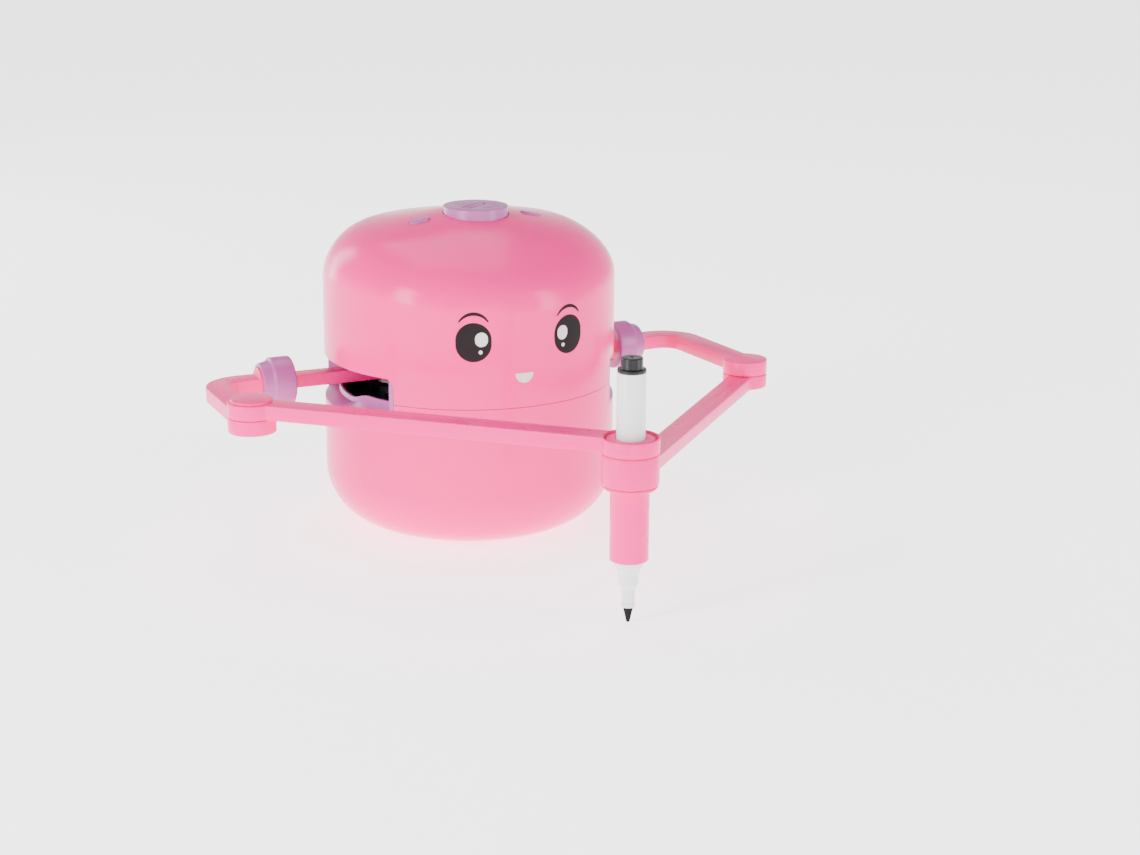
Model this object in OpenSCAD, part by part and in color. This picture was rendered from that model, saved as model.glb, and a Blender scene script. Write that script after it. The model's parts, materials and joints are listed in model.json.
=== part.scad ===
// Desktop drawing robot: a round body with two five-bar arms that move a pen.
// Units are millimetres. +Z is up and the face looks along -Y. The origin is on the
// table, on the body's vertical axis.

/* [Body] */
// outside radius of both shells
body_r = 70; // [69:0.5:71]
// height of the seam between the two shells
seam_z = 72.8; // [72:0.1:73.6]
// wall of both shells
wall = 2.4; // [2:0.1:2.8]
// radius of the rounded bottom edge
foot_round = 27.5; // [25:0.5:29]
// radius of the rounded shoulder under the crown
shoulder_round = 29; // [28:0.5:30]
// slope of the shallow crown, in degrees
crown_slope = 10.2; // [9.8:0.1:10.6]
// radius of the large button
button_r = 15.4; // [14:0.2:16]

/* [Side windows] */
// front end of each window, in degrees round from the face
win_front = 51; // [49:1:54]
// back end of each window, in degrees round from the face
win_back = 122; // [121:1:125]
// bottom of the windows
win_low = 62.4; // [62:0.1:63]
// top of the windows
win_high = 84.8; // [84:0.1:86]

/* [Arms] */
// distance of each shoulder from the middle
shoulder_x = 34; // [33.5:0.1:34.5]
// distance of the shoulders behind the middle
shoulder_y = 17; // [16.5:0.1:17.5]
// length from shoulder to the hook's corner
arm_out = 90.2; // [88:0.2:92]
// length from the hook's corner forward to the elbow
arm_drop = 66; // [64:0.5:68]
// length from elbow to pen
forearm = 174.7; // [174:0.1:176]
// width of the hooks and forearms
bar_w = 11.5; // [10:0.5:12]
// rest angle of the arm on the -X side, in degrees
left_rest = 1; // [0:0.5:2]
// rest angle of the arm on the +X side, in degrees
right_rest = 6; // [5:0.5:7]

/* [Pen] */
// radius of the pen's barrel
pen_r = 6.2; // [6:0.05:6.25]
// height of the pen's top
pen_top = 118; // [116:0.5:122]

/* [Hidden] */
$fn = 96;

pink = [0.95, 0.42, 0.60];
purple = [0.60, 0.40, 0.60];
steel = [0.70, 0.71, 0.73];
white = [0.88, 0.88, 0.88];
black = [0.03, 0.03, 0.03];
e = 0.01;

// the arms sit on three levels, 7 mm apart
arm_t = 6.7;
z_c = 62.9;
z_b = z_c + 7;
z_a = z_b + 7;
z_mid = z_b + arm_t / 2;
knuckle_r = 10.8;
ring_r = 12.5;
pin_r = 2.5;
sleeve_r = 8.45;
sleeve_bore = pen_r + 0.05;
boss_r = 7.62;
left_el = [-shoulder_x + cos(left_rest) * -arm_out + sin(left_rest) * arm_drop,
    shoulder_y - sin(left_rest) * arm_out - cos(left_rest) * arm_drop];
right_el = [shoulder_x + cos(right_rest) * arm_out + sin(right_rest) * arm_drop,
    shoulder_y + sin(right_rest) * arm_out - cos(right_rest) * arm_drop];
gap_v = right_el - left_el;
gap_l = norm(gap_v);
pen_h = sqrt(forearm * forearm - gap_l * gap_l / 4);
pen_xy = (left_el + right_el) / 2 + [gap_v[1], -gap_v[0]] / gap_l * pen_h;
left_dir = atan2(pen_xy[1] - left_el[1], pen_xy[0] - left_el[0]);
right_dir = atan2(pen_xy[1] - right_el[1], pen_xy[0] - right_el[0]);

// the lift hinge lies along X behind the arms
hinge_y = 45;
hinge_z = 58;
button_y = -9;
shoulder_z = 118.4;
hollow_round = 40;
button_top = 156.4;
small_z = 150.3;
small_tilt = 13;
screw_at = [for (a = [30, 150, 210, 330]) [54 * cos(a), 54 * sin(a)]];

module at(p, z = 0) {
    translate([p[0], p[1], z])
    children();
}

// ---- body ----

module capped(r, s, zc) {
    // a round body of radius r whose shoulder, rounded by s, runs into the sloping crown
    x1 = r - s + s * sin(crown_slope);
    z1 = zc + s * cos(crown_slope);
    rotate_extrude()
    union() {
        square([r, zc]);
        intersection() {
            translate([r - s, zc])
            circle(r = s);
            translate([0, zc])
            square([r, z1 - zc]);
        }
        polygon([[0, zc], [r - s, zc], [x1, z1], [0, z1 + x1 * tan(crown_slope)]]);
    }
}

module dome() {
    intersection() {
        union() {
            capped(body_r, shoulder_round, shoulder_z);
            // the crown is raised round the large button
            translate([0, button_y, 145.2])
            cylinder(r1 = 40, r2 = 19, h = 8.8);
        }
        // the flattened forehead
        translate([0, 18.6, 29.1])
        sphere(r = 131.3, $fn = 160);
    }
}

module hollow() {
    // the shoulder is rounder inside, which leaves the wall whole behind the forehead
    q = shoulder_round - hollow_round - wall;
    capped(body_r - wall, hollow_round,
        shoulder_z + q * (1 - sin(crown_slope)) / cos(crown_slope));
}

module half_window(lo, hi, a0, a1, r0, r1) {
    // a block round the +X side between two angles measured from the face
    rotate([0, 0, a0 - 90])
    rotate_extrude(angle = a1 - a0)
    translate([r0, lo])
    square([r1 - r0, hi - lo]);
}

module windows(grow = 0) {
    half_window(win_low - grow, win_high + grow, win_front - grow, win_back + grow, 50, 90);
    mirror([1, 0, 0])
    half_window(win_low - grow, win_high + grow, win_front - grow, win_back + grow, 50, 90);
}

module bowl(r, s, z0) {
    // solid with a rounded bottom edge, from z0 up to the seam
    rotate_extrude()
    union() {
        translate([0, z0])
        square([r - s, s]);
        intersection() {
            translate([r - s, z0 + s])
            circle(r = s);
            translate([0, z0])
            square([r, s]);
        }
        translate([0, z0 + s])
        square([r, seam_z - z0 - s]);
    }
}

module lower_shell() {
    color(pink)
    difference() {
        union() {
            difference() {
                bowl(body_r, foot_round, 2);
                translate([0, 0, wall])
                bowl(body_r - wall, foot_round - wall, 2);
                translate([0, 0, seam_z - 2])
                cylinder(r = body_r - wall / 2, h = 5);
            }
            // ledge that the bottom cover screws to
            difference() {
                translate([0, 0, 4.3])
                cylinder(r = 45, h = 2.1);
                translate([0, 0, 4])
                cylinder(r = 34.5, h = 3);
            }
            for (p = screw_at)
                at(p, 7.3)
                cylinder(r = 4.2, h = 28.7);
            for (p = screw_at)
                at(p, 14)
                rotate([0, 0, atan2(p[1], p[0])])
                translate([0, -1, 0])
                cube([9, 2, 19]);
        }
        translate([0, 0, 1])
        cylinder(r = 40, h = 3.4);
        for (a = [45 : 90 : 315])
            rotate([0, 0, a])
            translate([37.2, 0, 0])
            cylinder(r = 1.2, h = 8);
        for (p = screw_at)
            at(p, 20)
            cylinder(r = 1.5, h = 40);
        windows();
        // charging port and power switch at the back
        translate([-5, 50, 38])
        cube([10, 30, 4.2]);
        translate([-28, 50, 37.5])
        cube([12, 30, 5.2]);
    }
}

module upper_shell() {
    color(pink)
    difference() {
        dome();
        hollow();
        difference() {
            translate([0, 0, -2])
            cylinder(r = body_r + 5, h = seam_z + 2);
            translate([0, 0, seam_z - 1.7])
            cylinder(r = body_r - wall / 2 - 0.05, h = 3);
        }
        windows();
        translate([0, button_y, 130])
        cylinder(r = button_r + 0.35, h = 40);
        for (sx = [-1, 1])
            small_button_place(sx)
            oval(5.35, 3.35, -14, 10);
        // sound holes in the back
        translate([0, 50, 100])
        rotate([-90, 0, 0])
        for (k = [0 : 5])
            rotate([0, 0, 60 * k])
            translate([7, 0, 0])
            cylinder(r = 1.5, h = 30, $fn = 32);
        translate([0, 50, 100])
        rotate([-90, 0, 0])
        cylinder(r = 1.5, h = 30, $fn = 32);
        face_pockets();
    }
}

module bottom_cover() {
    color(pink)
    difference() {
        translate([0, 0, 2])
        cylinder(r = 39.7, h = 2.4);
        for (a = [45 : 90 : 315])
            rotate([0, 0, a])
            translate([37.2, 0, 0])
            cylinder(r = 1.25, h = 8);
        for (a = [45 : 90 : 315])
            rotate([0, 0, a])
            translate([37.2, 0, 1])
            cylinder(r = 2.1, h = 2.2);
    }
}

module cover_screws() {
    color(steel)
    for (a = [45 : 90 : 315])
        rotate([0, 0, a])
        translate([37.2, 0, 0])
        difference() {
            union() {
                translate([0, 0, 2.2])
                cylinder(r = 2, h = 1);
                translate([0, 0, 3.1])
                cylinder(r = 1.2, h = 3);
            }
            translate([-1.4, -0.3, 2])
            cube([2.8, 0.6, 0.7]);
            translate([-0.3, -1.4, 2])
            cube([0.6, 2.8, 0.7]);
        }
}

module foot_pad() {
    color(black)
    cylinder(r = 33, h = 2);
}

module shell_screws() {
    color(steel)
    for (p = screw_at) {
        at(p, 21)
        cylinder(r = 1.5, h = 17.4);
        at(p, 38.4)
        cylinder(r = 2.8, h = 2);
    }
}

// ---- windows ----

module bezel(side) {
    color(purple)
    mirror([side < 0 ? 1 : 0, 0, 0])
    union() {
        rotate([0, 0, win_front + 0.1 - 90])
        rotate_extrude(angle = win_back - win_front - 0.2)
        polygon([[61.5, win_low + 0.1], [61.5, 68.6], [62.7, 68.6], [body_r - 0.1, win_low + 1],
            [body_r - 0.1, win_low + 0.1]]);
        half_window(win_low + 0.1, win_high - 0.1, win_front + 0.1, win_front + 2, 61.5, body_r);
        half_window(win_low + 0.1, win_high - 0.1, win_back - 2, win_back - 0.1, 61.5, body_r);
    }
}

module bezel_left() {
    bezel(-1);
}

module bezel_right() {
    bezel(1);
}

// ---- face ----

module face_plug(a, z, depth) {
    // a flat outline is pushed in from the front and kept as a thin curved inlay
    intersection() {
        rotate([0, 0, a])
        translate([0, -50, z])
        rotate([90, 0, 0])
        linear_extrude(height = 30)
        children();
        difference() {
            translate([0, 0, 80])
            cylinder(r = body_r + 0.08, h = 42, $fn = 128);
            translate([0, 0, 79])
            cylinder(r = body_r - depth, h = 44, $fn = 128);
        }
    }
}

module round_oval(w, h) {
    // an oval made of a rounded middle and round ends
    translate([0, (h - w) / 2])
    circle(d = w);
    translate([0, -(h - w) / 2])
    circle(d = w);
    square([w, h - w], center = true);
}

module eye_shape() {
    round_oval(16.4, 18.2);
}

module glint_shape(side) {
    translate([-side * 3.6, 0.8])
    circle(r = 2.9);
    translate([-side * 3.6, 1.7])
    circle(r = 2.9);
    translate([-side * 3.2, -4.6])
    circle(r = 0.9);
}

module brow_shape() {
    difference() {
        translate([0, -4.6])
        circle(r = 7.6);
        translate([0, -6.4])
        circle(r = 7.9);
        translate([-10, -20])
        square([20, 18.4]);
    }
}

module mouth_shape() {
    difference() {
        circle(r = 4.4);
        translate([-6, 0.2])
        square([12, 8]);
    }
}

module face_pockets() {
    for (s = [-1, 1])
        face_plug(19.5 * s, 104.6, 0.6)
        eye_shape();
    for (s = [-1, 1])
        face_plug(19.5 * s, 115.6, 0.6)
        brow_shape();
    face_plug(0, 89, 0.6)
    mouth_shape();
}

module eye(side) {
    color(black)
    difference() {
        face_plug(19.5 * side, 104.6, 0.6)
        eye_shape();
        face_plug(19.5 * side, 104.6, 0.3)
        glint_shape(side);
    }
}

module eye_left() {
    eye(-1);
}

module eye_right() {
    eye(1);
}

module eye_glints() {
    color(white)
    for (s = [-1, 1])
        face_plug(19.5 * s, 104.6, 0.3)
        glint_shape(s);
}

module brows() {
    color(black)
    for (s = [-1, 1])
        face_plug(19.5 * s, 115.6, 0.6)
        brow_shape();
}

module mouth() {
    color(white)
    face_plug(0, 89, 0.6)
    mouth_shape();
}

// ---- buttons, boards, power ----

module oval(a, b, z0, z1) {
    translate([0, 0, z0])
    linear_extrude(height = z1 - z0)
    union() {
        translate([a - b, 0])
        circle(r = b);
        translate([b - a, 0])
        circle(r = b);
        square([2 * (a - b), 2 * b], center = true);
    }
}

module small_button_place(side) {
    translate([28 * side, button_y, small_z])
    rotate([0, small_tilt * side, 0])
    children();
}

module main_button() {
    color(purple)
    difference() {
        union() {
            translate([0, button_y, 147.4])
            cylinder(r = button_r, h = button_top - 147.4);
            translate([0, button_y, 146.2])
            cylinder(r = button_r + 1.6, h = 1.2);
        }
        translate([0, button_y, 145])
        cylinder(r = button_r - 2, h = 9.4);
        translate([0, button_y, button_top - 0.25])
        icon(1);
    }
}

module icon(h) {
    // a plain pencil outline and a short line under its point
    rotate([0, 0, 35])
    linear_extrude(height = h)
    difference() {
        polygon([[-9, -2.4], [4, -2.4], [8.6, 0], [4, 2.4], [-9, 2.4]]);
        polygon([[-8.2, -1.6], [3.8, -1.6], [6.8, 0], [3.8, 1.6], [-8.2, 1.6]]);
    }
    rotate([0, 0, 35])
    translate([-6.6, -1.8, 0])
    cube([0.7, 3.6, h]);
    translate([1, -8.2, 0])
    cube([8, 0.8, h]);
}

module button_icon() {
    color(purple)
    translate([0, button_y, button_top - 0.25])
    icon(0.15);
}

module small_button(side) {
    color(purple)
    small_button_place(side)
    union() {
        oval(5, 3, -6, 1);
        oval(6.4, 4.4, -7.2, -6);
    }
}

module small_button_left() {
    small_button(-1);
}

module small_button_right() {
    small_button(1);
}

module button_board() {
    color([0.05, 0.25, 0.14])
    union() {
        translate([-36, button_y - 12, 134])
        cube([72, 24, 1.6]);
        translate([-3, button_y - 3, 135.6])
        cube([6, 6, 3.5]);
        for (sx = [-1, 1])
            translate([28 * sx - 3, button_y - 3, 135.6])
            cube([6, 6, 2.5]);
        // two posts hold the board under the crown
        for (sx = [-1, 1])
            translate([17 * sx, button_y + 10, 135.6])
            cylinder(r = 1.8, h = 13.6);
    }
}

module speaker() {
    color(black)
    translate([0, 65.3, 100])
    rotate([90, 0, 0])
    difference() {
        union() {
            cylinder(r = 14, h = 3);
            translate([0, 0, 3])
            cylinder(r1 = 13, r2 = 9, h = 4);
            translate([0, 0, 7])
            cylinder(r = 8, h = 4);
        }
        translate([0, 0, -1])
        cylinder(r1 = 12.4, r2 = 5, h = 4);
    }
}

module battery() {
    color([0.16, 0.30, 0.55])
    for (sy = [-1, 1])
        translate([-31, 9.4 * sy - 6, 16.2])
        rotate([0, 90, 0])
        union() {
            cylinder(r = 9.2, h = 62);
            translate([0, 0, 62])
            cylinder(r = 3, h = 1.6);
        }
}

module control_board() {
    color([0.05, 0.25, 0.14])
    union() {
        translate([-32, 52, 20])
        cube([64, 1.6, 34]);
        translate([-10, 49.6, 30])
        cube([12, 2.4, 12]);
        translate([10, 50, 28])
        cube([8, 2, 5]);
        for (k = [0 : 3])
            translate([-27 + 4 * k, 50.4, 46])
            cube([2, 1.6, 3]);
    }
}

module charge_port() {
    color(steel)
    difference() {
        translate([-4.7, 53.6, 38.3])
        cube([9.4, 15.2, 3.6]);
        translate([-4.1, 60, 38.9])
        cube([8.2, 20, 2.4]);
    }
}

module switch_case() {
    color(steel)
    difference() {
        translate([-27.5, 53.6, 37.9])
        cube([11, 8.8, 4.4]);
        translate([-26, 59.4, 38.9])
        cube([8, 5, 2.4]);
    }
}

module switch_slider() {
    color(black)
    translate([-25.6, 59.8, 39.2])
    cube([3, 6.6, 1.8]);
}

// ---- lifting cradle ----

module chassis() {
    color([0.22, 0.22, 0.24])
    difference() {
        union() {
            // plate on the four screw posts, cut short at the back for the board
            intersection() {
                translate([0, 0, 36])
                cylinder(r = 60, h = 2.4);
                translate([-70, -70, 30])
                cube([140, 119, 20]);
            }
            for (sx = [-1, 1])
                translate([31 * sx - 3, 40.3, 38.4])
                cube([6, 8.5, 24.4]);
            translate([-9, -36.2, 38.4])
            cube([18, 3, 10]);
        }
        for (p = screw_at)
            at(p, 30)
            cylinder(r = 1.6, h = 12);
        translate([-50, hinge_y, hinge_z])
        rotate([0, 90, 0])
        cylinder(r = 2.05, h = 100);
        // room for the cam and the hanging arm motors
        translate([9.8, -40, 30])
        cube([6.6, 28, 14]);
        for (sx = [-1, 1])
            translate([34 * sx - 8, 7, 30])
            cube([16, 31, 14]);
    }
}

module cradle() {
    color([0.30, 0.30, 0.33])
    difference() {
        union() {
            translate([-46, -20, 56])
            cube([92, 58.8, 3]);
            for (sx = [-1, 1])
                translate([25 * sx - 2.5, 34, 53])
                cube([5, 16, 10]);
            // pad the cam pushes up
            translate([7, -36, 56])
            cube([10, 18, 3]);
        }
        for (sx = [-1, 1])
            translate([34 * sx - 6.2, shoulder_y - 6.2, 50])
            cube([12.4, 23.4, 20]);
        translate([-50, hinge_y, hinge_z])
        rotate([0, 90, 0])
        cylinder(r = 2, h = 100);
    }
}

module cradle_pins() {
    color(steel)
    for (sx = [-1, 1])
        translate([sx * 29 - 7.5, hinge_y, hinge_z])
        rotate([0, 90, 0])
        cylinder(r = 2, h = 15);
}

module lift_motor() {
    color([0.12, 0.16, 0.30])
    union() {
        translate([-9, -33, 38.4])
        cube([18, 20, 13]);
        translate([9, -26, 47.5])
        rotate([0, 90, 0])
        cylinder(r = 3.6, h = 1.2);
    }
}

module cam_outline() {
    // the radius grows evenly with angle, so the lift keeps a constant ratio
    polygon([for (a = [0 : 6 : 354])
        let (g = a <= 180 ? a : 360 - a, r = 7.6 + 3.57 * g / 180, t = a - 25)
        [r * sin(t), r * cos(t)]]);
}

module lift_cam() {
    color(white)
    translate([10.6, -26, 47.5])
    rotate([90, 0, 90])
    difference() {
        union() {
            linear_extrude(height = 3)
            cam_outline();
            translate([0, 0, 3])
            cylinder(r = 3, h = 2);
        }
        translate([0, 0, -1])
        cylinder(r = 1, h = 8);
    }
}

module servo(side) {
    color([0.12, 0.16, 0.30])
    union() {
        translate([34 * side - 6, shoulder_y - 6, 40.5])
        cube([12, 23, 22.5]);
        translate([34 * side - 6, shoulder_y - 10.5, 59])
        cube([12, 32, 1.8]);
        at([34 * side, shoulder_y], 63)
        cylinder(r = 5.8, h = 2.6);
        at([34 * side, shoulder_y], 65.6)
        cylinder(r = 2.4, h = 1.9);
    }
}

module servo_left() {
    servo(-1);
}

module servo_right() {
    servo(1);
}

// ---- arms, drawn for the +X side about the shoulder at the origin ----

module arm_place(side) {
    translate([side * shoulder_x, shoulder_y, 0])
    rotate([0, 0, side < 0 ? left_rest : right_rest])
    mirror([side < 0 ? 1 : 0, 0, 0])
    children();
}

module horn(side) {
    color(white)
    arm_place(side)
    difference() {
        translate([0, 0, 67.9])
        cylinder(r = 6.6, h = z_b - 67.9);
        translate([0, 0, 66])
        cylinder(r = 1, h = 5);
    }
}

module horn_left() {
    horn(-1);
}

module horn_right() {
    horn(1);
}

module inner_arm(side) {
    color(pink)
    arm_place(side)
    difference() {
        union() {
            translate([0, 0, z_b])
            cylinder(r = 8.6, h = arm_t);
            translate([0, -4.5, z_mid - 3])
            cube([53, 9, 6]);
            translate([52.2, 0, z_mid])
            rotate([0, 90, 0])
            cylinder(r = boss_r, h = 7.8);
            translate([54.5, 0, z_mid])
            rotate([0, 90, 0])
            cylinder(r = 8.8, h = 2.4);
        }
        translate([0, 0, z_b + 4])
        cylinder(r = 3, h = 5);
    }
}

module inner_arm_left() {
    inner_arm(-1);
}

module inner_arm_right() {
    inner_arm(1);
}

module collar(side) {
    color(purple)
    arm_place(side)
    translate([0, 0, z_mid])
    rotate([0, 90, 0])
    rotate_extrude()
    polygon([[7.7, 51.5], [11.2, 51.5], [11.8, 52.1], [11.8, 61.4], [10.9, 62.1], [10.5, 62.3],
        [9.3, 67], [7.7, 67], [7.7, 57.3], [8.9, 57.3], [8.9, 54.1], [7.7, 54.1]]);
}

module collar_left() {
    collar(-1);
}

module collar_right() {
    collar(1);
}

module hook_flat() {
    ox = arm_out - bar_w / 2 - 8;
    oy = -bar_w / 2 - 8;
    difference() {
        union() {
            translate([66, -bar_w / 2])
            square([ox - 66, bar_w]);
            intersection() {
                translate([ox, oy])
                circle(r = bar_w + 8);
                translate([ox, oy])
                square(40);
            }
            translate([arm_out - bar_w / 2, -arm_drop])
            square([bar_w, arm_drop + oy]);
            translate([arm_out, -arm_drop])
            circle(r = knuckle_r);
        }
        translate([ox, oy])
        circle(r = 8);
    }
}

module outer_arm(side) {
    color(pink)
    arm_place(side)
    difference() {
        union() {
            translate([0, 0, z_b])
            linear_extrude(height = arm_t)
            difference() {
                hook_flat();
                translate([50, -20])
                square([17.6, 40]);
            }
            translate([60, 0, z_mid])
            rotate([0, 90, 0])
            cylinder(r = boss_r, h = 7.9);
        }
        // blind hole for the elbow pin, open toward the forearm
        translate([arm_out, -arm_drop, side < 0 ? z_b + 1.3 : z_b - 1])
        cylinder(r = pin_r, h = 6.4);
    }
}

module outer_arm_left() {
    outer_arm(-1);
}

module outer_arm_right() {
    outer_arm(1);
}

module elbow_pin_left() {
    color(steel)
    at(left_el, z_b + 1.3)
    cylinder(r = pin_r, h = 11.1);
}

module elbow_pin_right() {
    color(steel)
    at(right_el, z_c + 0.6)
    cylinder(r = pin_r, h = 11.8);
}

module elbow_cap() {
    color(pink)
    at(left_el, z_a + arm_t)
    cylinder(r = 9.4, h = 1.2);
}

module forearm_left() {
    color(pink)
    at(left_el, z_a)
    rotate([0, 0, left_dir])
    difference() {
        union() {
            cylinder(r = knuckle_r, h = arm_t);
            translate([0, -bar_w / 2, 0])
            cube([forearm, bar_w, arm_t]);
            translate([forearm, 0, 0])
            cylinder(r = ring_r, h = arm_t);
        }
        translate([0, 0, -1])
        cylinder(r = pin_r + 0.05, h = arm_t);
        translate([forearm, 0, -1])
        cylinder(r = sleeve_r + 1.3, h = 10);
        translate([forearm, 0, arm_t - 2.2])
        cylinder(r = 11.7, h = 4);
    }
}

module forearm_right() {
    color(pink)
    at(right_el, z_c)
    rotate([0, 0, right_dir])
    difference() {
        union() {
            cylinder(r = knuckle_r, h = arm_t);
            translate([0, -bar_w / 2, 0])
            cube([forearm, bar_w, arm_t]);
            translate([forearm, 0, 0])
            cylinder(r = ring_r, h = arm_t + 7);
        }
        translate([0, 0, 0.3])
        cylinder(r = pin_r + 0.05, h = arm_t);
        translate([forearm, 0, -1])
        cylinder(r = sleeve_r + 0.05, h = 20);
    }
}

// ---- pen holder and pen ----

module pen_sleeve() {
    color(pink)
    at(pen_xy)
    difference() {
        union() {
            translate([0, 0, 29])
            cylinder(r = sleeve_r, h = z_a + arm_t - 1.9 - 29);
            translate([0, 0, z_c - 2])
            cylinder(r1 = 11.2, r2 = 12, h = 0.8);
            translate([0, 0, z_c - 1.2])
            cylinder(r = 12, h = 0.9);
        }
        translate([0, 0, 20])
        cylinder(r = sleeve_bore, h = 80);
    }
}

module sleeve_cap() {
    color(pink)
    at(pen_xy, z_a + arm_t - 1.9)
    difference() {
        cylinder(r = 10.35, h = 1.2);
        translate([0, 0, -1])
        cylinder(r = sleeve_bore + 0.15, h = 4);
    }
}

module pen_barrel() {
    color(white)
    at(pen_xy)
    difference() {
        translate([0, 0, 26])
        cylinder(r = pen_r, h = pen_top - 6.3 - 26);
        translate([0, 0, 25])
        cylinder(r = pen_r - 1.2, h = pen_top - 9 - 26);
    }
}

module pen_nose() {
    color(white)
    at(pen_xy)
    rotate_extrude()
    polygon([[0, 9], [2.3, 9], [2.3, 7.6], [3.1, 7.6], [3.1, 9.2], [2.9, 9.4], [3, 15.5],
        [4.3, 17.9], [4.45, 22.2], [5.6, 25.6], [5.6, 26], [0, 26]]);
}

module pen_nib() {
    color(black)
    at(pen_xy)
    rotate_extrude()
    polygon([[0, 0.3], [0.5, 0.35], [0.85, 0.9], [2.25, 7.2], [2.25, 9], [0, 9]]);
}

module pen_plug() {
    color(black)
    at(pen_xy)
    difference() {
        union() {
            translate([0, 0, pen_top - 6.3])
            cylinder(r = pen_r, h = 1.5);
            translate([0, 0, pen_top - 4.8])
            cylinder(r = 4.7, h = 4.8);
        }
        translate([0, 0, pen_top - 2])
        cylinder(r = 0.7, h = 4, $fn = 24);
    }
}

lower_shell();
upper_shell();
bottom_cover();
foot_pad();
cover_screws();
shell_screws();
bezel_left();
bezel_right();
eye_left();
eye_right();
eye_glints();
brows();
mouth();
main_button();
button_icon();
small_button_left();
small_button_right();
button_board();
speaker();
battery();
control_board();
charge_port();
switch_case();
switch_slider();
chassis();
cradle();
cradle_pins();
lift_motor();
lift_cam();
servo_left();
servo_right();
horn_left();
horn_right();
inner_arm_left();
inner_arm_right();
collar_left();
collar_right();
outer_arm_left();
outer_arm_right();
elbow_pin_left();
elbow_pin_right();
elbow_cap();
forearm_left();
forearm_right();
pen_sleeve();
sleeve_cap();
pen_barrel();
pen_nose();
pen_nib();
pen_plug();
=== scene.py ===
import json
import math

import bmesh
import bpy
import numpy as np
from mathutils import Matrix, Quaternion, Vector


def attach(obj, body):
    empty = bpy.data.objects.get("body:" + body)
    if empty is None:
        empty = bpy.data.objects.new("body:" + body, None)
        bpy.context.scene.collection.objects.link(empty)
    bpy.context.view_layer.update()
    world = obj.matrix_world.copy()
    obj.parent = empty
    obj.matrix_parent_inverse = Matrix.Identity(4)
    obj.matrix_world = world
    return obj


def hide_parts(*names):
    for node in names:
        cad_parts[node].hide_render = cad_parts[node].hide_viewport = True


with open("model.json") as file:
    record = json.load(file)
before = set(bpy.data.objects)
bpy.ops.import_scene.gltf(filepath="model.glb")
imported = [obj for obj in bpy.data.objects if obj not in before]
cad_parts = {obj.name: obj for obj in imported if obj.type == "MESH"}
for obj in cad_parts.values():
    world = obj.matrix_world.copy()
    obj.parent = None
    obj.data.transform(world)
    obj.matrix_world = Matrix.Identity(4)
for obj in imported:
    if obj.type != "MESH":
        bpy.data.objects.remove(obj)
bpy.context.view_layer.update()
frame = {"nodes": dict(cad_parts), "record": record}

nodes = frame["nodes"]
MM = 0.001


# ---------------------------------------------------------------- materials
class Tree:
    """A small helper that adds shader nodes and wires them."""

    def __init__(self, name):
        self.mat = bpy.data.materials.new(name)
        self.mat.use_nodes = True
        self.t = self.mat.node_tree
        self.t.nodes.clear()
        self.out = self.t.nodes.new("ShaderNodeOutputMaterial")
        self.bsdf = self.t.nodes.new("ShaderNodeBsdfPrincipled")
        self.t.links.new(self.bsdf.outputs[0], self.out.inputs[0])
        self.coord = self.t.nodes.new("ShaderNodeTexCoord").outputs["Object"]

    def add(self, kind, **inputs):
        n = self.t.nodes.new("ShaderNode" + kind)
        for key, value in inputs.items():
            if key in ("operation", "samples"):
                setattr(n, key, value)
                continue
            numbered = key[0] == "i" and key[1:].isdigit()
            socket = n.inputs[int(key[1:]) if numbered else key.replace("_", " ")]
            if isinstance(value, bpy.types.NodeSocket):
                self.t.links.new(value, socket)
            else:
                socket.default_value = value
        return n

    def noise(self, scale, detail=3.0, rough=0.55, vector=None):
        n = self.add("TexNoise", Scale=scale, Detail=detail, Roughness=rough)
        self.t.links.new(vector or self.coord, n.inputs["Vector"])
        return n.outputs[0]

    def ramp(self, value, lo, hi, a, b):
        n = self.add("MapRange", Value=value, From_Min=lo, From_Max=hi, To_Min=a, To_Max=b)
        return n.outputs[0]

    def mix(self, factor, a, b):
        n = self.t.nodes.new("ShaderNodeMix")
        n.data_type = "RGBA"
        for socket, value in ((n.inputs[0], factor), (n.inputs[6], a), (n.inputs[7], b)):
            if isinstance(value, bpy.types.NodeSocket):
                self.t.links.new(value, socket)
            else:
                socket.default_value = value
        return n.outputs[2]

    def math(self, operation, a, b=0.0):
        n = self.add("Math", operation=operation, i0=a, i1=b)
        return n.outputs[0]

    def set(self, socket, value):
        s = self.bsdf.inputs[socket]
        if isinstance(value, bpy.types.NodeSocket):
            self.t.links.new(value, s)
        else:
            s.default_value = value


def rgba(c):
    return (c[0], c[1], c[2], 1.0)


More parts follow.
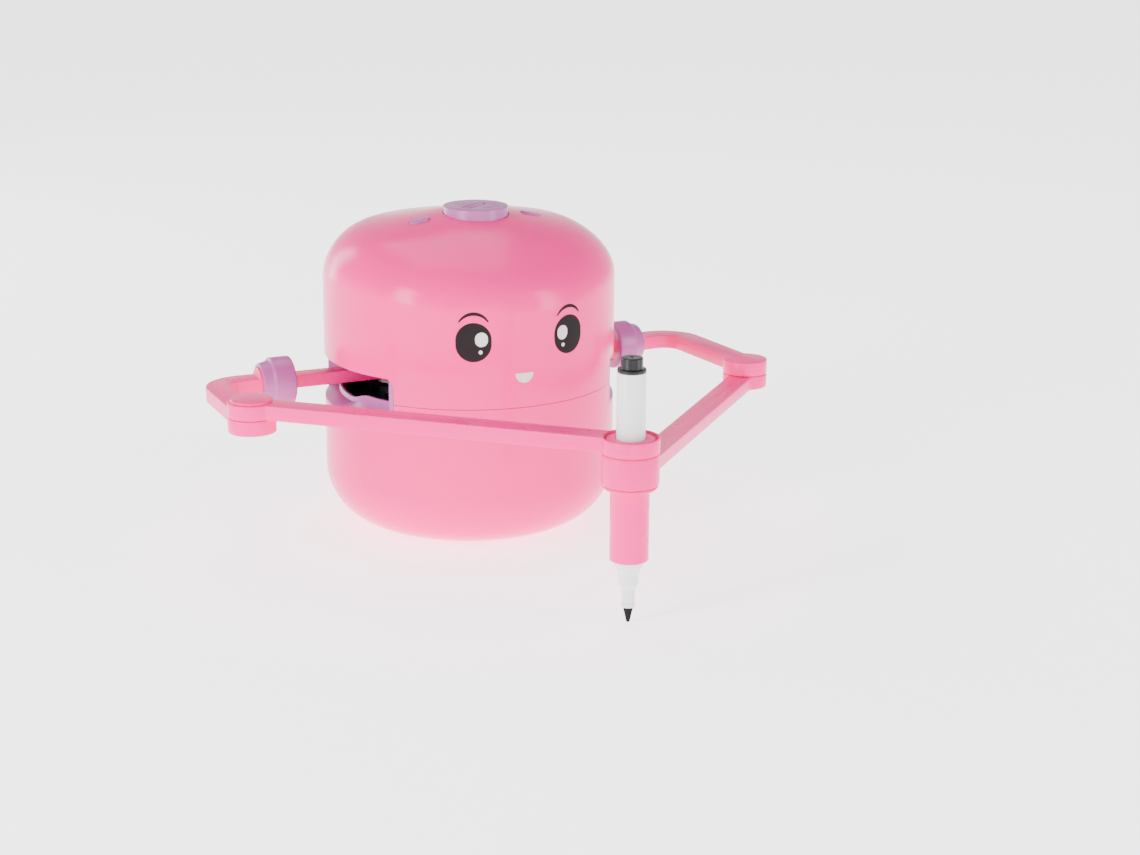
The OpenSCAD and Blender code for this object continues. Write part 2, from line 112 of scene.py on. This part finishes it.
def plastic(name, colour, rough=0.3, spread=0.05, shift=0.05, grain=1600, height=0.03, edge=0.45,
            gloss=0.35, scratches=0.0, painted_shade_radius=None):
    """Moulded plastic: slow colour drift, fine grain, hairline marks, softened edges and, when given a
    radius, painted shade on a shell's inner skin.
    """
    m = Tree(name)
    slow = m.noise(38, 4)
    fine = m.noise(grain, 2)
    dark = tuple(x * (1 - shift) for x in colour)
    light = tuple(min(1, x * (1 + shift)) for x in colour)
    base = m.mix(m.ramp(slow, 0.3, 0.7, 0, 1), rgba(dark), rgba(light))
    speck = m.noise(420, 2)
    base = m.mix(m.ramp(speck, 0.62, 0.78, 0, 0.05), base, rgba(tuple(x * 0.8 for x in colour)))
    if painted_shade_radius is not None:
        # painted shade: the inner skin of the hollow shells is really pink, but inside this radius and
        # height band it is painted nearly black to stand in for its shadow
        x = m.add("SeparateXYZ", i0=m.coord)
        r2 = m.math("ADD", m.math("POWER", x.outputs[0], 2.0), m.math("POWER", x.outputs[1], 2.0))
        r = m.math("SQRT", r2)
        in_painted_shade = m.math("LESS_THAN", r, painted_shade_radius)
        # painted shade: the darkening is kept to the height band of the hollow shells
        low = m.math("MULTIPLY", m.math("GREATER_THAN", x.outputs[2], 0.030),
                     m.math("LESS_THAN", x.outputs[2], 0.118))
        base = m.mix(m.math("MULTIPLY", in_painted_shade, low), base, (0.020, 0.005, 0.009, 1))
    m.set("Base Color", base)
    rr = m.ramp(m.noise(90, 3), 0.3, 0.7, rough - spread, rough + spread)
    if scratches:
        v = m.add("Mapping", Vector=m.coord)
        v.inputs["Scale"].default_value = (900, 60, 900)
        v.inputs["Rotation"].default_value = (0.3, 0.2, 0.5)
        line = m.ramp(m.noise(1.0, 2, 0.5, v.outputs[0]), 0.66, 0.74, 0, scratches)
        rr = m.math("ADD", rr, line)
    m.set("Roughness", rr)
    m.set("IOR", 1.49)
    m.set("Specular IOR Level", gloss)
    bump = m.add("Bump", Strength=height, Distance=0.0004, Height=fine)
    if edge:
        bev = m.add("Bevel", samples=6, Radius=edge * MM)
        m.t.links.new(bev.outputs[0], bump.inputs["Normal"])
    m.t.links.new(bump.outputs[0], m.bsdf.inputs["Normal"])
    return m.mat


def metal(name, colour, rough=0.3):
    m = Tree(name)
    v = m.add("Mapping", Vector=m.coord)
    v.inputs["Scale"].default_value = (400, 400, 4000)
    grain = m.noise(1.0, 3, 0.6, v.outputs[0])
    m.set("Base Color", m.mix(m.ramp(grain, 0.3, 0.7, 0, 1), rgba(colour),
                              rgba(tuple(x * 0.75 for x in colour))))
    m.set("Metallic", 1.0)
    m.set("Roughness", m.ramp(grain, 0.3, 0.7, rough - 0.08, rough + 0.12))
    bump = m.add("Bump", Strength=0.08, Distance=0.0002, Height=grain)
    bev = m.add("Bevel", samples=4, Radius=0.2 * MM)
    m.t.links.new(bev.outputs[0], bump.inputs["Normal"])
    m.t.links.new(bump.outputs[0], m.bsdf.inputs["Normal"])
    return m.mat


def board(name):
    m = Tree(name)
    brick = m.t.nodes.new("ShaderNodeTexBrick")
    brick.inputs["Scale"].default_value = 320
    brick.inputs["Color1"].default_value = (0.012, 0.10, 0.045, 1)
    brick.inputs["Color2"].default_value = (0.018, 0.14, 0.06, 1)
    brick.inputs["Mortar"].default_value = (0.05, 0.28, 0.13, 1)
    m.t.links.new(m.coord, brick.inputs["Vector"])
    pads = m.ramp(m.noise(900), 0.6, 0.7, 0, 0.6)
    m.set("Base Color", m.mix(pads, brick.outputs[0], (0.45, 0.36, 0.12, 1)))
    m.set("Roughness", m.ramp(m.noise(300), 0.3, 0.7, 0.3, 0.5))
    return m.mat


def felt(name):
    m = Tree(name)
    n = m.noise(2600, 5, 0.7)
    m.set("Base Color", m.mix(m.ramp(n, 0.3, 0.7, 0, 1), (0.004, 0.004, 0.005, 1), (0.018, 0.018, 0.02, 1)))
    m.set("Roughness", m.ramp(n, 0.3, 0.7, 0.7, 0.95))
    m.set("Specular IOR Level", 0.1)
    b = m.add("Bump", Strength=0.5, Distance=0.0003, Height=n)
    m.t.links.new(b.outputs[0], m.bsdf.inputs["Normal"])
    return m.mat


PINK = (0.97, 0.003, 0.235)
PURPLE = (0.38, 0.075, 0.29)
looks = {
    # pink_shell's last value is the radius inside which the inner skin gets painted shade, nearly black
    "pink_shell": plastic("pink_shell", PINK, 0.22, 0.03, 0.02, 1300, 0.02, 0.5, 0.24, 0.04, 0.0690),
    "pink_arm": plastic("pink_arm", PINK, 0.30, 0.04, 0.025, 1500, 0.03, 0.4, 0.22, 0.06),
    "purple_trim": plastic("purple_trim", PURPLE, 0.36, 0.05, 0.03, 1400, 0.04, 0.4, 0.5, 0.05),
    "black_print": plastic("black_print", (0.016, 0.013, 0.014), 0.36, 0.04, 0.1, 1200, 0.03, 0, 0.04),
    "white_print": plastic("white_print", (0.62, 0.60, 0.60), 0.36, 0.04, 0.02, 1200, 0.03, 0, 0.2),
    "icon_line": plastic("icon_line", (0.20, 0.035, 0.15), 0.5, 0.05, 0.06, 1200, 0.03, 0, 0.3),
    "rubber_pad": plastic("rubber_pad", (0.030, 0.030, 0.032), 0.75, 0.08, 0.15, 900, 0.25, 0.4, 0.3),
    "steel": metal("steel", (0.62, 0.63, 0.66)),
    "frame_plastic": plastic("frame_plastic", (0.020, 0.020, 0.024), 0.5, 0.06, 0.1, 900, 0.12, 0.3, 0.2),
    "motor_case": plastic("motor_case", (0.010, 0.011, 0.016), 0.46, 0.05, 0.1, 900, 0.08, 0.3, 0.3),
    "board": board("board"),
    "cell": plastic("cell", (0.03, 0.14, 0.42), 0.25, 0.05, 0.06, 700, 0.03, 0.3, 0.5),
    "white_plastic": plastic("white_plastic", (0.30, 0.30, 0.30), 0.45, 0.05, 0.03, 1200, 0.05, 0.3),
    "pen_white": plastic("pen_white", (0.76, 0.76, 0.77), 0.24, 0.04, 0.015, 1500, 0.02, 0.3, 0.5, 0.08),
    "pen_black": plastic("pen_black", (0.010, 0.010, 0.011), 0.34, 0.06, 0.1, 1200, 0.06, 0.35, 0.25, 0.08),
    "nib_felt": felt("nib_felt"),
}
for part in frame["record"]["subparts"]:
    o = nodes[part["node"]]
    o.data.materials.clear()
    o.data.materials.append(looks[part["material_slot"]])


# ---------------------------------------------------------------- mesh helpers
def new_object(name, verts, faces, slot, body, replaced=(), sharp=35):
    me = bpy.data.meshes.new(name)
    me.from_pydata([tuple(float(c) * MM for c in v) for v in verts], [], faces)
    me.validate()
    o = bpy.data.objects.new(name, me)
    bpy.context.scene.collection.objects.link(o)
    tidy(o, sharp)
    me.materials.append(looks[slot])
    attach(o, body)
    if replaced:
        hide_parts(*replaced)
    return o


def tidy(o, sharp=35):
    b = bmesh.new()
    b.from_mesh(o.data)
    bmesh.ops.remove_doubles(b, verts=b.verts, dist=1e-6)
    bmesh.ops.recalc_face_normals(b, faces=b.faces)
    b.to_mesh(o.data)
    b.free()
    o.data.polygons.foreach_set("use_smooth", [True] * len(o.data.polygons))
    o.data.set_sharp_from_angle(angle=math.radians(sharp))


def cut(o, cutters):
    """Applies the object's modifiers after taking the cutters away from it."""
    for c in cutters:
        m = o.modifiers.new("cut", "BOOLEAN")
        m.operation = "DIFFERENCE"
        m.solver = "EXACT"
        m.object = c
    dg = bpy.context.evaluated_depsgraph_get()
    me = bpy.data.meshes.new_from_object(o.evaluated_get(dg))
    old = o.data
    o.modifiers.clear()
    o.data = me
    bpy.data.meshes.remove(old)
    for c in cutters:
        bpy.data.objects.remove(c)


def raw(name, verts, faces):
    me = bpy.data.meshes.new(name)
    me.from_pydata([tuple(float(c) * MM for c in v) for v in verts], [], faces)
    o = bpy.data.objects.new(name, me)
    bpy.context.scene.collection.objects.link(o)
    b = bmesh.new()
    b.from_mesh(me)
    bmesh.ops.recalc_face_normals(b, faces=b.faces)
    b.to_mesh(me)
    b.free()
    return o


def turned(profile, steps=96, place=Matrix.Identity(4)):
    """Vertices and faces of a shape turned about its own Z axis from (radius, height) points."""
    verts, faces, rings = [], [], []
    for r, z in profile:
        if r < 1e-6:
            rings.append([len(verts)])
            verts.append(place @ Vector((0, 0, z)))
        else:
            rings.append(list(range(len(verts), len(verts) + steps)))
            for i in range(steps):
                a = 2 * math.pi * i / steps
                verts.append(place @ Vector((r * math.cos(a), r * math.sin(a), z)))
    for a, b in zip(rings, rings[1:]):
        for i in range(steps):
            j = (i + 1) % steps
            if len(a) == 1 and len(b) > 1:
                faces.append((a[0], b[i], b[j]))
            elif len(b) == 1 and len(a) > 1:
                faces.append((a[i], a[j], b[0]))
            elif len(a) > 1 and len(b) > 1:
                faces.append((a[i], a[j], b[j], b[i]))
    return verts, faces


# ---------------------------------------------------------------- upper shell
BODY_R = 70.0
WALL = 2.4
BUTTON_Y = -9.0
SEAM = 72.8
SEAM_GAP = 0.22
CORE_Z = 95.0
CROWN_TOP = 156.9
CROWN_SLOPE = math.radians(10.4)
SHOULDER_ROUND = 22.0
BROW_Y, BROW_Z, BROW_R = 18.6, 29.1, 131.3
BROW_ROUND = 7.0


def round_both(a, b, r):
    """The rounded meeting of two half spaces given as signed distances."""
    u = np.maximum(a + r, 0)
    v = np.maximum(b + r, 0)
    return np.minimum(np.maximum(a, b), -r) + np.hypot(u, v)


def shell_distance(p):
    x, y, z = p
    side = np.hypot(x, y) - BODY_R
    rho = np.hypot(x, y - BUTTON_Y)
    lift = CROWN_TOP - math.tan(CROWN_SLOPE) * np.sqrt(rho ** 2 + 12.0)
    crown = (z - lift) * math.cos(CROWN_SLOPE)
    f = round_both(side, crown, SHOULDER_ROUND)
    brow = np.sqrt(x ** 2 + (y - BROW_Y) ** 2 + (z - BROW_Z) ** 2) - BROW_R
    return round_both(f, brow, BROW_ROUND)


def shell_skin(offset, bottom, rows, cols):
    """A grid of points where rays from a point on the axis leave the skin."""
    c = np.array([0.0, 0.0, CORE_Z])
    low = math.atan2(bottom - CORE_Z, BODY_R - offset)
    tilt = np.concatenate([np.linspace(low, 0.35, rows // 3, endpoint=False),
                           np.linspace(0.35, math.pi / 2, rows - rows // 3)])
    az = np.linspace(0, 2 * math.pi, cols, endpoint=False)
    d = np.stack([np.cos(tilt)[:, None] * np.cos(az), np.cos(tilt)[:, None] * np.sin(az),
                  np.sin(tilt)[:, None] * np.ones_like(az)])
    lo = np.zeros(d.shape[1:])
    hi = np.full(d.shape[1:], 140.0)
    for _ in range(40):
        mid = (lo + hi) / 2
        out = shell_distance(c[:, None, None] + d * mid) + offset > 0
        hi = np.where(out, mid, hi)
        lo = np.where(out, lo, mid)
    return np.moveaxis(c[:, None, None] + d * ((lo + hi) / 2), 0, -1)


WINDOW_LOW, WINDOW_HIGH = 62.4, 84.8
WINDOW_FRONT, WINDOW_BACK = 51.0, 122.0


def window_cutter(side, low, high, a0, a1, corner, r0=55.0, r1=80.0):
    """A block round the side of the body with rounded corners, between angles from the face."""
    verts, faces = [], []
    n = 72
    ca = math.degrees(corner / BODY_R)
    for i in range(n + 1):
        # columns crowd together in the corners
        t = i / n
        a = a0 + (a1 - a0) * (0.5 - 0.5 * math.cos(math.pi * t))
        edge = min(a - a0, a1 - a)
        drop = 0.0
        if edge < ca:
            k = 1 - edge / ca
            drop = corner * (1 - math.sqrt(max(0.0, 1 - k * k)))
        th = math.radians(a)
        for r in (r0, r1):
            for z in (low + drop, high - drop):
                verts.append((side * r * math.sin(th), -r * math.cos(th), z))
    for i in range(n):
        b = 4 * i
        for q, w in ((0, 1), (1, 3), (3, 2), (2, 0)):
            faces.append((b + q, b + w, b + 4 + w, b + 4 + q))
    faces.append((0, 1, 3, 2))
    faces.append((4 * n, 4 * n + 2, 4 * n + 3, 4 * n + 1))
    return raw("window_cutter", verts, faces)


def oval_cutter(side, a, b):
    tilt = math.radians(13.0)
    place = Matrix.Translation((28.0 * side, BUTTON_Y, 150.3)) @ Matrix.Rotation(tilt * side, 4, "Y")
    ring = []
    for i in range(64):
        t = 2 * math.pi * i / 64
        cx = (a - b) * (1 if math.cos(t) > 0 else -1)
        ring.append((cx + b * math.cos(t), b * math.sin(t)))
    verts = [place @ Vector((x, y, z)) for z in (-9, 8) for x, y in ring]
    faces = [(i, (i + 1) % 64, 64 + (i + 1) % 64, 64 + i) for i in range(64)]
    faces += [tuple(range(64)), tuple(range(64, 128))]
    return raw("oval_cutter", verts, faces)


def make_upper_shell():
    cols = 384
    outer = shell_skin(0.0, SEAM + SEAM_GAP, 108, cols)
    inner = shell_skin(WALL, SEAM + SEAM_GAP, 48, cols)
    verts, faces = [], []

    def layer(grid):
        start = len(verts)
        rows = grid.shape[0]
        for i in range(rows - 1):
            verts.extend(grid[i])
        top = len(verts)
        verts.append(grid[rows - 1, 0])
        for i in range(rows - 2):
            for j in range(cols):
                k = (j + 1) % cols
                faces.append((start + i * cols + j, start + i * cols + k,
                              start + (i + 1) * cols + k, start + (i + 1) * cols + j))
        last = start + (rows - 2) * cols
        for j in range(cols):
            faces.append((last + j, last + (j + 1) % cols, top))
        return start

    a = layer(outer)
    b = layer(inner)
    for j in range(cols):
        k = (j + 1) % cols
        faces.append((a + j, a + k, b + k, b + j))
    o = raw("upper_shell_skin", verts, faces)
    hole = raw("hole", *turned([(0, 130), (15.75, 130), (15.75, 170), (0, 170)], 128,
                               Matrix.Translation((0, BUTTON_Y, 0))))
    cutters = [window_cutter(s, WINDOW_LOW, WINDOW_HIGH, WINDOW_FRONT, WINDOW_BACK, 4.2) for s in (-1, 1)]
    cutters += [hole, oval_cutter(-1, 5.35, 3.35), oval_cutter(1, 5.35, 3.35)]
    # sound holes in the back
    back = Matrix.Translation((0, 50, 100)) @ Matrix.Rotation(-math.pi / 2, 4, "X")
    spots = [(0.0, 0.0)] + [(7 * math.cos(k * math.pi / 3), 7 * math.sin(k * math.pi / 3)) for k in range(6)]
    for x, y in spots:
        place = back @ Matrix.Translation((x, y, 0))
        cutters.append(raw("hole", *turned([(0, 0), (1.5, 0), (1.5, 30), (0, 30)], 32, place)))
    cut(o, cutters)
    tidy(o, 40)
    o.data.materials.clear()
    o.data.materials.append(looks["pink_shell"])
    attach(o, "body")
    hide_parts("upper_shell")
    return o


make_upper_shell()


# ---------------------------------------------------------------- moulded parts with real edge radii
body_of = {n: b for b, group in frame["record"]["behaviour"]["bodies"].items() for n in group}
slot_of = {p["node"]: p["material_slot"] for p in frame["record"]["subparts"]}


def soften(node, width, angle=32, segments=3):
    """Stands in for a CAD node with the same shape and its sharp edges rounded."""
    b = bmesh.new()
    b.from_mesh(nodes[node].data)
    bmesh.ops.remove_doubles(b, verts=b.verts, dist=3e-6)
    bmesh.ops.dissolve_limit(b, angle_limit=math.radians(0.4), verts=b.verts, edges=b.edges)
    me = bpy.data.meshes.new(node + "_soft")
    b.to_mesh(me)
    b.free()
    o = bpy.data.objects.new(node + "_soft", me)
    bpy.context.scene.collection.objects.link(o)
    m = o.modifiers.new("edge", "BEVEL")
    m.width = width * MM
    m.segments = segments
    m.limit_method = "ANGLE"
    m.angle_limit = math.radians(angle)
    cut(o, [])
    tidy(o, 42)
    o.data.materials.clear()
    o.data.materials.append(looks[slot_of[node]])
    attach(o, body_of[node])
    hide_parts(node)
    return o


for side in ("left", "right"):
    soften("inner_arm_" + side, 0.6)
    soften("outer_arm_" + side, 0.9)
    soften("forearm_" + side, 0.9)
    soften("collar_" + side, 0.35)
    soften("small_button_" + side, 0.45)
soften("main_button", 0.2)


def bezel(side, name):
    """The window's liner: a ledge whose inner wall stands higher toward the face, and two jambs."""
    verts, faces = [], []
    n = 60
    for i in range(n + 1):
        a = 51.1 + 70.8 * i / n
        # the wall comes down where the arm swings over it
        t = min(max((a - 70) / 14, 0), 1)
        top = 71.9 - 3.3 * t * t * (3 - 2 * t)
        th = math.radians(a)
        slope = (65.2, 66.2 + (top - 68.6) * 0.3)
        wall = ((61.5, 62.5), (61.5, top), (62.7, top), (63.2, top - 2.2))
        for r, z in wall + (slope, (69.9, 63.4), (69.9, 62.5)):
            verts.append((side * r * math.sin(th), -r * math.cos(th), z))
    k = 7
    for i in range(n):
        for j in range(k):
            a, b = i * k + j, i * k + (j + 1) % k
            faces.append((a, b, b + k, a + k))
    faces += [tuple(range(k)), tuple(range(n * k, n * k + k))]
    for a0, a1 in ((51.1, 53.0), (120.0, 121.9)):
        start = len(verts)
        for a in (a0, (a0 + a1) / 2, a1):
            th = math.radians(a)
            for r, z in ((61.5, 62.5), (61.5, 84.7), (69.98, 84.7), (69.98, 62.5)):
                verts.append((side * r * math.sin(th), -r * math.cos(th), z))
        for i in range(2):
            for j in range(4):
                p, q = start + 4 * i + j, start + 4 * i + (j + 1) % 4
                faces.append((p, q, q + 4, p + 4))
        faces += [tuple(start + j for j in range(4)), tuple(start + 8 + j for j in range(4))]
    new_object(name + "_liner", verts, faces, "purple_trim", "body", (name,), 40)


bezel(-1, "bezel_left")
bezel(1, "bezel_right")
soften("elbow_cap", 0.35)
soften("sleeve_cap", 0.3)
soften("pen_sleeve", 0.3)
soften("pen_barrel", 0.25)
soften("pen_plug", 0.4)


# ---------------------------------------------------------------- stage, light and camera
def plane(name, size, z, material):
    me = bpy.data.meshes.new(name)
    s = size
    me.from_pydata([(-s, -s, z), (s, -s, z), (s, s, z), (-s, s, z)], [], [(0, 1, 2, 3)])
    o = bpy.data.objects.new(name, me)
    bpy.context.scene.collection.objects.link(o)
    me.materials.append(material)
    return o


floor_mat = Tree("floor_paper")
floor_mat.set("Base Color", floor_mat.mix(floor_mat.ramp(floor_mat.noise(60), 0.3, 0.7, 0, 1),
                                          (0.93, 0.93, 0.935, 1), (0.95, 0.95, 0.952, 1)))
floor_mat.set("Emission Color", (1.0, 1.0, 1.0, 1))
floor_mat.set("Emission Strength", 2.3)
floor_mat.set("Roughness", floor_mat.ramp(floor_mat.noise(200), 0.3, 0.7, 0.75, 0.9))
plane("floor", 14.0, 0.0, floor_mat.mat)

world = bpy.data.worlds.new("world")
bpy.context.scene.world = world
world.use_nodes = True
bg = world.node_tree.nodes["Background"]
bg.inputs[0].default_value = (1.0, 1.0, 1.0, 1)
# the backdrop is brightest at the horizon
wt = world.node_tree
w_coord = wt.nodes.new("ShaderNodeTexCoord")
w_xyz = wt.nodes.new("ShaderNodeSeparateXYZ")
w_ramp = wt.nodes.new("ShaderNodeMapRange")
wt.links.new(w_coord.outputs["Generated"], w_xyz.inputs[0])
wt.links.new(w_xyz.outputs[2], w_ramp.inputs[0])
w_ramp.inputs["From Min"].default_value = 0.0
w_ramp.inputs["From Max"].default_value = 0.6
w_ramp.inputs["To Min"].default_value = 1.9
w_ramp.inputs["To Max"].default_value = 0.5
wt.links.new(w_ramp.outputs[0], bg.inputs[1])


def area(name, where, target, size, power, size_y=None, colour=(1, 1, 1)):
    l = bpy.data.lights.new(name, "AREA")
    l.shape = "RECTANGLE"
    l.size = size
    l.size_y = size_y or size
    l.energy = power
    l.color = colour
    o = bpy.data.objects.new(name, l)
    bpy.context.scene.collection.objects.link(o)
    o.location = where
    o.rotation_mode = "QUATERNION"
    o.rotation_quaternion = (Vector(target) - Vector(where)).to_track_quat("-Z", "Y")
    return o


area("key", (-1.10, -0.43, 0.38), (0, 0, 0.09), 0.26, 21.0, 1.1)
area("fill", (0.85, -0.95, 0.38), (0, 0, 0.09), 0.26, 11.0, 1.1)
area("rim", (-0.55, 1.10, 0.38), (0, 0, 0.09), 0.30, 8.0, 1.0)
area("top", (0.1, 0.5, 1.4), (0, 0, 0.1), 0.9, 8.0)
area("front", (-0.25, -1.6, 0.25), (0, 0, 0.08), 0.9, 3.0, 0.4)

cam = bpy.data.cameras.new("camera")
cam.lens = 69.19
cam.sensor_width = 36.0
cam.shift_y = -0.0016
cam.clip_start = 0.05
cam.clip_end = 50
camera = bpy.data.objects.new("camera", cam)
bpy.context.scene.collection.objects.link(camera)
camera.location = (-0.3713, -0.9650, 0.34117)
pitch = math.radians(15.95)
ahead = Vector((math.sin(math.radians(23.77)) * math.cos(pitch),
                math.cos(math.radians(23.77)) * math.cos(pitch), -math.sin(pitch)))
camera.rotation_mode = "QUATERNION"
camera.rotation_quaternion = ahead.to_track_quat("-Z", "Y") @ Quaternion((0, 0, 1), math.radians(0.48))
bpy.context.scene.camera = camera
